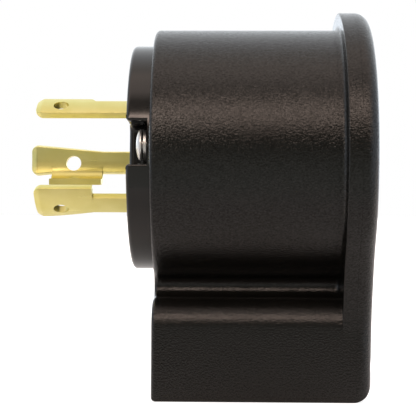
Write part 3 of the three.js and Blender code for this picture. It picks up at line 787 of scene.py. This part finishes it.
def cross_recess(piece, x, depth, y, z, reach):
    """Cuts a tapered cross into a screw's head, one bar at a time."""
    wide, narrow = CROSS_WIDTHS
    for lean in (0, 90):
        mouth = rounded_slot(wide, 2 * reach, CROSS_CORNER, y, z, lean)
        bottom = rounded_slot(narrow, reach, CROSS_CORNER, y, z, lean)
        rings = [at(x - depth, mouth), at(x, mouth), at(x + depth, bottom)]
        tool = closed_piece("cross_tool", rings, piece.data.materials[0])
        piece = combine(piece, tool, "DIFFERENCE")
    return piece


def on_screw_circle(angle):
    """Place (y, z) of an insert screw's axis."""
    turn = math.radians(plug_direction(angle))
    return SCREW_CIRCLE * math.cos(turn), SCREW_CIRCLE * math.sin(turn)


def insert_screw(name, angle, material):
    """Round-headed screw that holds the insert."""
    y, z = on_screw_circle(angle)
    back = SCREW_HEAD_BACK
    dome = back - SCREW_RIM - SCREW_FACE
    profile = []
    for step in range(1, DOME_STEPS + 1):
        turn = math.radians(90 * step / DOME_STEPS)
        profile.append((SCREW_HEAD_RADIUS * math.sin(turn), SCREW_FACE + dome * (1 - math.cos(turn))))
    profile += [
        (SCREW_HEAD_RADIUS, back - SCREW_BEVEL),
        (SCREW_HEAD_RADIUS - SCREW_BEVEL, back),
        (SCREW_SHANK, back),
        (SCREW_SHANK, SCREW_TIP - SCREW_POINT_LENGTH),
        (SCREW_POINT, SCREW_TIP),
    ]
    piece = turned_piece(name, profile, y, z, material)
    depth, reach = SCREW_RECESS
    return cross_recess(piece, SCREW_FACE, depth, y, z, reach)


def split_washer(name, angle, material):
    """Spring washer: a square-section ring with a gap, its ends a little apart along X."""
    y, z = on_screw_circle(angle)
    height = WASHER_BACK - WASHER_FRONT
    thickness = height * WASHER_METAL
    inner, outer = WASHER_RADII
    bevel, inset = WASHER_BEVEL
    section = [
        (inner, 0),
        (inner, 1),
        (outer - inset, 1),
        (outer, 1 - bevel),
        (outer, bevel),
        (outer - inset, 0),
    ]
    rings = []
    for step in range(WASHER_STEPS + 1):
        share = step / WASHER_STEPS
        about = math.radians(WASHER_START + (360 - WASHER_GAP) * share)
        front = WASHER_FRONT + (height - thickness) * share
        rings.append([
            (front + depth * thickness, y + radius * math.cos(about), z + radius * math.sin(about))
            for radius, depth in section
        ])
    return closed_piece(name, rings, material)


def cover_screw(name, place, material):
    """Flat-headed screw of the front cover."""
    top, tip = COVER_SCREW_TOP, COVER_SCREW_TIP
    rim_start, rim_end = COVER_HEAD_RIM
    profile = [
        (COVER_POINT, tip),
        (COVER_SHANK, tip + COVER_POINT_LENGTH),
        (COVER_SHANK, top - COVER_HEAD_DEPTH),
        (COVER_HEAD_RADIUS - COVER_HEAD_BEVEL, top - rim_end - COVER_HEAD_BEVEL),
        (COVER_HEAD_RADIUS, top - rim_end),
        (COVER_HEAD_RADIUS, top - rim_start),
        (COVER_HEAD_RADIUS - COVER_HEAD_BEVEL, top),
        (COVER_TOP_CENTRE, top),
    ]
    piece = turned_piece(name, profile, *place, material)
    depth, reach = COVER_RECESS
    return cross_recess(piece, top, -depth, *place, reach)


# ---- Materials -----------------------------------------------------------------------------


def fill_ramp(node, stops):
    """Sets the (position, colour) stops of a colour ramp."""
    elements = node.color_ramp.elements
    while len(elements) < len(stops):
        elements.new(0.5)
    for element, (position, colour) in zip(elements, stops):
        element.position = position
        element.color = (*colour, 1)


class Recipe:
    """A node material around one Principled shader."""

    def __init__(self, name):
        self.material = bpy.data.materials.new(name)
        self.material.use_nodes = True
        self.tree = self.material.node_tree
        self.shader = self.tree.nodes["Principled BSDF"]
        self.place = self.add("ShaderNodeTexCoord").outputs["Object"]

    def add(self, kind, values=()):
        """Adds a node and sets the inputs that are given as (name, value) pairs."""
        node = self.tree.nodes.new(kind)
        for name, value in values:
            node.inputs[name].default_value = value
        return node

    def link(self, output, socket):
        self.tree.links.new(output, socket)

    def set(self, name, value):
        """Sets one of the shader's inputs, the same all over."""
        self.shader.inputs[name].default_value = value

    def noise(self, scale, detail=2, roughness=0.5, stretch=None):
        """Noise whose scale is in features per metre. Returns its value from 0 to 1."""
        values = [("Scale", scale), ("Detail", detail), ("Roughness", roughness)]
        noise = self.add("ShaderNodeTexNoise", values)
        place = self.place
        if stretch:
            mapping = self.add("ShaderNodeMapping", [("Scale", stretch)])
            self.link(place, mapping.inputs["Vector"])
            place = mapping.outputs["Vector"]
        self.link(place, noise.inputs["Vector"])
        return noise.outputs["Fac"]

    def spread(self, value, low, high, source=(0.3, 0.7)):
        """Maps a value from one range to another."""
        ends = [("From Min", source[0]), ("From Max", source[1]), ("To Min", low), ("To Max", high)]
        remap = self.add("ShaderNodeMapRange", ends)
        self.link(value, remap.inputs["Value"])
        return remap.outputs["Result"]

    def tint(self, value, dark, light):
        """Base colour that goes from dark to light with a value."""
        ramp = self.add("ShaderNodeValToRGB")
        fill_ramp(ramp, [(0.3, dark), (0.7, light)])
        self.link(value, ramp.inputs["Fac"])
        self.link(ramp.outputs["Color"], self.shader.inputs["Base Color"])

    def vary(self, name, value, low, high):
        """Lets one of the shader's inputs go from low to high with a value."""
        self.link(self.spread(value, low, high), self.shader.inputs[name])

    def bump(self, height, distance, strength=1, below=None):
        """Gives the shader a bump, its distance in millimetres, on top of another if given."""
        bump = self.add("ShaderNodeBump", [("Strength", strength), ("Distance", distance * MM)])
        self.link(height, bump.inputs["Height"])
        if below:
            self.link(below, bump.inputs["Normal"])
        self.link(bump.outputs["Normal"], self.shader.inputs["Normal"])
        return bump.outputs["Normal"]


def textured_plastic():
    """Warm black plastic with the fine grain of a spark-eroded mould."""
    recipe = Recipe("housing_plastic")
    recipe.tint(recipe.noise(240, 3), dark=(0.0044, 0.0042, 0.0034), light=(0.0060, 0.0056, 0.0046))
    recipe.vary("Roughness", recipe.noise(1500), 0.12, 0.18)
    grain = recipe.noise(2500, 2, 0.6)
    recipe.vary("Specular IOR Level", grain, 0.34, 0.72)
    coarse = recipe.bump(grain, 0.1)
    recipe.bump(recipe.noise(5600, 1), 0.014, below=coarse)
    return recipe.material


def smooth_plastic():
    """Glossier black plastic of the plug insert and the receptacle's face."""
    recipe = Recipe("insert_plastic")
    recipe.tint(recipe.noise(180, 3), dark=(0.0058, 0.0055, 0.0048), light=(0.0078, 0.0074, 0.0066))
    recipe.set("Specular IOR Level", 0.62)
    recipe.vary("Roughness", recipe.noise(900, 3), 0.11, 0.16)
    recipe.bump(recipe.noise(1300), 0.01, 0.35)
    return recipe.material


def brass():
    """Rolled brass sheet with faint drawing lines along the blade."""
    recipe = Recipe("blade_brass")
    recipe.set("Metallic", 1)
    recipe.tint(recipe.noise(160, 4), dark=(0.80, 0.72, 0.25), light=(0.87, 0.79, 0.32))
    lines = recipe.noise(900, 3, stretch=(0.06, 1, 1))
    recipe.vary("Roughness", lines, 0.26, 0.40)
    recipe.bump(lines, 0.01, 0.4)
    return recipe.material


def nickel():
    """Nickel-plated steel of the screws and washers."""
    recipe = Recipe("screw_steel")
    recipe.set("Metallic", 1)
    recipe.tint(recipe.noise(500, 3), dark=(0.80, 0.79, 0.77), light=(0.90, 0.89, 0.87))
    recipe.vary("Roughness", recipe.noise(1600), 0.34, 0.46)
    recipe.bump(recipe.noise(2400), 0.006, 0.4)
    return recipe.material


def table_paint():
    """White table top. The camera sees it glow a little, so it meets the backdrop without an edge."""
    recipe = Recipe("table_paint")
    recipe.set("Base Color", (0.8, 0.8, 0.8, 1))
    recipe.set("Roughness", 0.9)
    recipe.set("Specular IOR Level", 0)
    glow = recipe.add("ShaderNodeEmission", [("Strength", 0.8)])
    seen = recipe.add("ShaderNodeAddShader")
    recipe.link(glow.outputs["Emission"], seen.inputs[0])
    recipe.link(recipe.shader.outputs["BSDF"], seen.inputs[1])
    depth = recipe.add("ShaderNodeSeparateXYZ")
    recipe.link(recipe.place, depth.inputs["Vector"])
    # Painted shade: for reflected rays the table's colour darkens towards the viewer.
    shade = recipe.spread(depth.outputs["Y"], TABLE_PAINTED_SHADE, 1, source=TABLE_SHADE_FADE)
    reflected = recipe.add("ShaderNodeBsdfDiffuse")
    recipe.link(shade, reflected.inputs["Color"])
    paths = recipe.add("ShaderNodeLightPath")
    mix = recipe.add("ShaderNodeMixShader")
    recipe.link(paths.outputs["Is Camera Ray"], mix.inputs["Fac"])
    recipe.link(reflected.outputs["BSDF"], mix.inputs[1])
    recipe.link(seen.outputs["Shader"], mix.inputs[2])
    recipe.link(mix.outputs["Shader"], recipe.tree.nodes["Material Output"].inputs["Surface"])
    return recipe.material


# ---- Studio --------------------------------------------------------------------------------

# Light that comes from round the object, by angle: 0 is the viewer's side, 90 is overhead and
# 180 is behind. The narrow warm step above the viewer is the main soft box.
SURROUNDINGS = [
    (-180, (2.00, 2.15, 2.35)),
    (-170, (0.95, 0.98, 1.02)),
    (-100, (0.85, 0.87, 0.90)),
    (-70, (0.62, 0.62, 0.60)),
    (-24, (0.42, 0.42, 0.39)),
    (-6, (0.38, 0.38, 0.35)),
    (1, (0.33, 0.33, 0.30)),
    (6, (0.09, 0.09, 0.08)),
    (12, (0.10, 0.10, 0.09)),
    (31, (0.18, 0.15, 0.12)),
    (36, (5.60, 4.40, 3.75)),
    (40, (5.60, 4.40, 3.75)),
    (45, (0.30, 0.26, 0.23)),
    (57, (0.28, 0.25, 0.22)),
    (68, (1.12, 0.94, 0.85)),
    (88, (1.18, 0.99, 0.89)),
    (98, (0.84, 0.76, 0.70)),
    (120, (0.92, 0.93, 0.95)),
    (168, (1.25, 1.32, 1.38)),
    (174, (2.00, 2.15, 2.35)),
    (180, (2.00, 2.15, 2.35)),
]
# Light from the two sides. It takes over as the X part of a direction goes through this span.
SIDE_LIGHT = (0.70, 0.76, 0.84, 1)
SIDE_SPAN = (0.6, 0.9)
# Reflector cards outside the camera's view, which light the blades: place, width, height and
# brightness.
CARDS = [
    ((-36, -140, 18), 34, 60, 0.5),
    ((-35, -140, 71), 26, 14, 6),
]
CARDS_AIM = (-15, 13, -2)
CARD_COLOUR = (1, 0.88, 0.74)
# Painted shade: the table top reflects less light towards the viewer, between two places along Y in
# metres.
TABLE_SHADE_FADE = (-0.06, 0)
TABLE_PAINTED_SHADE = 0.55
TABLE_RADIUS = 1500
TABLE_FRONT = -100
TABLE_STEPS = 96

CAMERA_PLACE = (23.64, -281.8, -9.95)
CAMERA_FORWARD = (-0.0225, 1, -0.0067)
CAMERA_UPWARD = (-0.0037, 0, 1)
CAMERA_LENS = 102.9
CAMERA_SENSOR = 36
CAMERA_CLIP = (0.01, 20)


def put(thing, place, turn):
    """Places a camera or a light and links it into the scene."""
    thing.matrix_world = Matrix.Translation(Vector(place) * MM) @ turn
    bpy.context.scene.collection.objects.link(thing)


def camera():
    """Long-lens camera, nearly square to the plug's axis."""
    data = bpy.data.cameras.new("camera")
    data.sensor_width = CAMERA_SENSOR
    data.lens = CAMERA_LENS
    data.clip_start, data.clip_end = CAMERA_CLIP
    eye = bpy.data.objects.new("camera", data)
    forward = Vector(CAMERA_FORWARD).normalized()
    right = forward.cross(Vector(CAMERA_UPWARD)).normalized()
    upward = right.cross(forward)
    put(eye, CAMERA_PLACE, Matrix((right, upward, -forward)).transposed().to_4x4())
    bpy.context.scene.camera = eye


def cards():
    """Soft reflector cards, which don't show to the camera."""
    for place, width, height, brightness in CARDS:
        data = bpy.data.lights.new("card", "AREA")
        data.shape = "RECTANGLE"
        data.size, data.size_y = width * MM, height * MM
        data.color = CARD_COLOUR
        data.energy = brightness * math.pi * data.size * data.size_y
        card = bpy.data.objects.new("card", data)
        card.visible_camera = False
        facing = Vector(place) - Vector(CARDS_AIM)
        put(card, place, facing.to_track_quat("Z", "Y").to_matrix().to_4x4())


def table():
    """Round table top that ends a little way in front of the object."""
    skin = Skin()
    height = cad_box[0].z / MM
    rim = circle(TABLE_RADIUS, TABLE_STEPS)
    skin.fill(skin.ring([(x, y + TABLE_FRONT + TABLE_RADIUS, height) for x, y in rim]))
    top = skin.piece("table_top", table_paint())


def studio():
    """World light that depends on direction, with a plain white backdrop for the camera."""
    world = bpy.data.worlds.new("studio")
    bpy.context.scene.world = world
    world.use_nodes = True
    tree = world.node_tree
    nodes, links = tree.nodes, tree.links

    def maths(operation, *values):
        node = nodes.new("ShaderNodeMath")
        node.operation = operation
        for socket, value in zip(node.inputs, values):
            if isinstance(value, (int, float)):
                socket.default_value = value
            else:
                links.new(value, socket)
        return node.outputs["Value"]

    direction = nodes.new("ShaderNodeSeparateXYZ")
    links.new(nodes.new("ShaderNodeTexCoord").outputs["Generated"], direction.inputs["Vector"])
    towards_viewer = maths("MULTIPLY", direction.outputs["Y"], -1)
    angle = maths("ARCTAN2", direction.outputs["Z"], towards_viewer)
    turned = maths("ADD", maths("DIVIDE", angle, 2 * math.pi), 0.5)
    ramp = nodes.new("ShaderNodeValToRGB")
    fill_ramp(ramp, [(degrees / 360 + 0.5, colour) for degrees, colour in SURROUNDINGS])
    links.new(turned, ramp.inputs["Fac"])
    sideways = nodes.new("ShaderNodeMapRange")
    sideways.inputs["From Min"].default_value = SIDE_SPAN[0]
    sideways.inputs["From Max"].default_value = SIDE_SPAN[1]
    links.new(maths("ABSOLUTE", direction.outputs["X"]), sideways.inputs["Value"])
    blend = nodes.new("ShaderNodeMix")
    blend.data_type = "RGBA"
    links.new(sideways.outputs["Result"], blend.inputs["Factor"])
    links.new(ramp.outputs["Color"], blend.inputs["A"])
    blend.inputs["B"].default_value = SIDE_LIGHT
    lighting = nodes["Background"]
    links.new(blend.outputs["Result"], lighting.inputs["Color"])
    backdrop = nodes.new("ShaderNodeBackground")
    backdrop.inputs["Color"].default_value = (1, 1, 1, 1)
    seen = nodes.new("ShaderNodeMixShader")
    links.new(nodes.new("ShaderNodeLightPath").outputs["Is Camera Ray"], seen.inputs["Fac"])
    links.new(lighting.outputs["Background"], seen.inputs[1])
    links.new(backdrop.outputs["Background"], seen.inputs[2])
    links.new(seen.outputs["Shader"], nodes["World Output"].inputs["Surface"])
    bpy.context.scene.view_settings.view_transform = "Standard"


# ---- Assembly ------------------------------------------------------------------------------


def show(piece, node):
    """Puts a detailed piece in place of its CAD node."""
    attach(piece, "root")
    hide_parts(node)


def refinish(node, material):
    """Gives a CAD node that stays in view a detailed material."""
    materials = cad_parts[node].data.materials
    materials.clear()
    materials.append(material)


camera()
cards()
table()
studio()

housing_look = textured_plastic()
insert_look = smooth_plastic()
brass_look = brass()
steel_look = nickel()

show(rear_housing(housing_look), "rear_housing")
show(front_cover(housing_look), "front_cover")
show(receptacle_core(insert_look), "receptacle_core")
show(plug_insert(insert_look), "plug_insert")

for name, blade in BLADES.items():
    metal = blade_body(name + "_metal", blade, brass_look)
    if name == "ground_blade":
        metal = combine(metal, ground_leg(brass_look), "UNION")
    show(combine(metal, hole_tool(*blade["hole"]), "DIFFERENCE"), name)

for index, angle in enumerate(SCREW_ANGLES, 1):
    screw = insert_screw(f"insert_screw_{index}_head", angle, steel_look)
    show(screw, f"insert_screw_{index}")
    washer = split_washer(f"insert_washer_{index}_ring", angle, steel_look)
    show(washer, f"insert_washer_{index}")
for index, place in enumerate(COVER_SCREW_PLACES, 1):
    screw = cover_screw(f"cover_screw_{index}_head", place, steel_look)
    show(screw, f"cover_screw_{index}")

for conductor in ("line", "neutral", "ground"):
    for part in ("contact", "strap", "rivet"):
        refinish(f"{conductor}_{part}", brass_look)
refinish("blade_retainer", insert_look)
